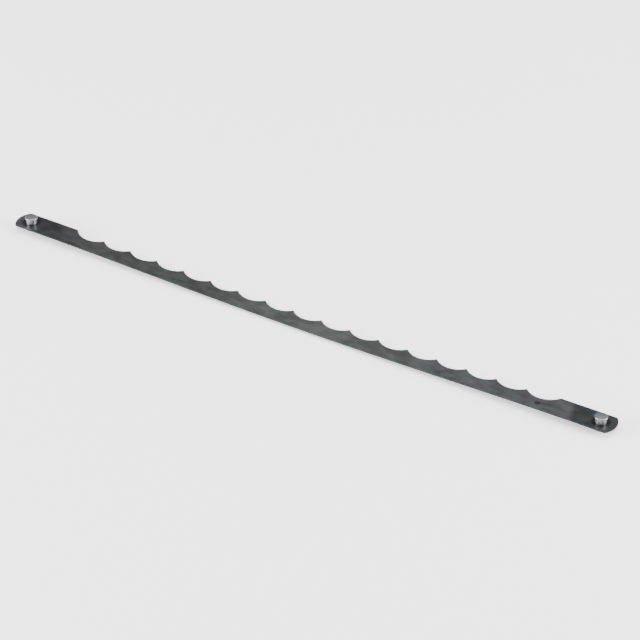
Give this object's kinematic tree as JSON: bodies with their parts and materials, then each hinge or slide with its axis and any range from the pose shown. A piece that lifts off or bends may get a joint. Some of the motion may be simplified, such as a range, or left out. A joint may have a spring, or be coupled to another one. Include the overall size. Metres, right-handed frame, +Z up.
{
  "type": "scalloped slicing blade",
  "caption": "Thin steel strip with a scalloped, bevelled edge and rounded ends, and a headed pin standing out of both faces near each end to hook into a tensioning frame.",
  "frame": {"origin": "midway between the two pins, on the plane that the lower pin heads rest on", "axes": "+X along the strip towards the end with the punch dimple, +Y across it towards the scalloped cutting edge, +Z up along the pins"},
  "size_m": [0.3074, 0.012, 0.0063],
  "materials": {
    "blade_steel": "hardened and tempered strip, rolled and ground satin, dark grey, heat-darkened at both pinned ends",
    "pin_steel": "turned bright steel, satin"
  },
  "bodies": {
    "root": {"blade_strip": "blade_steel", "left_pin_stud": "pin_steel", "left_pin_collar": "pin_steel", "right_pin_stud": "pin_steel", "right_pin_collar": "pin_steel"}
  },
  "joints": []
}
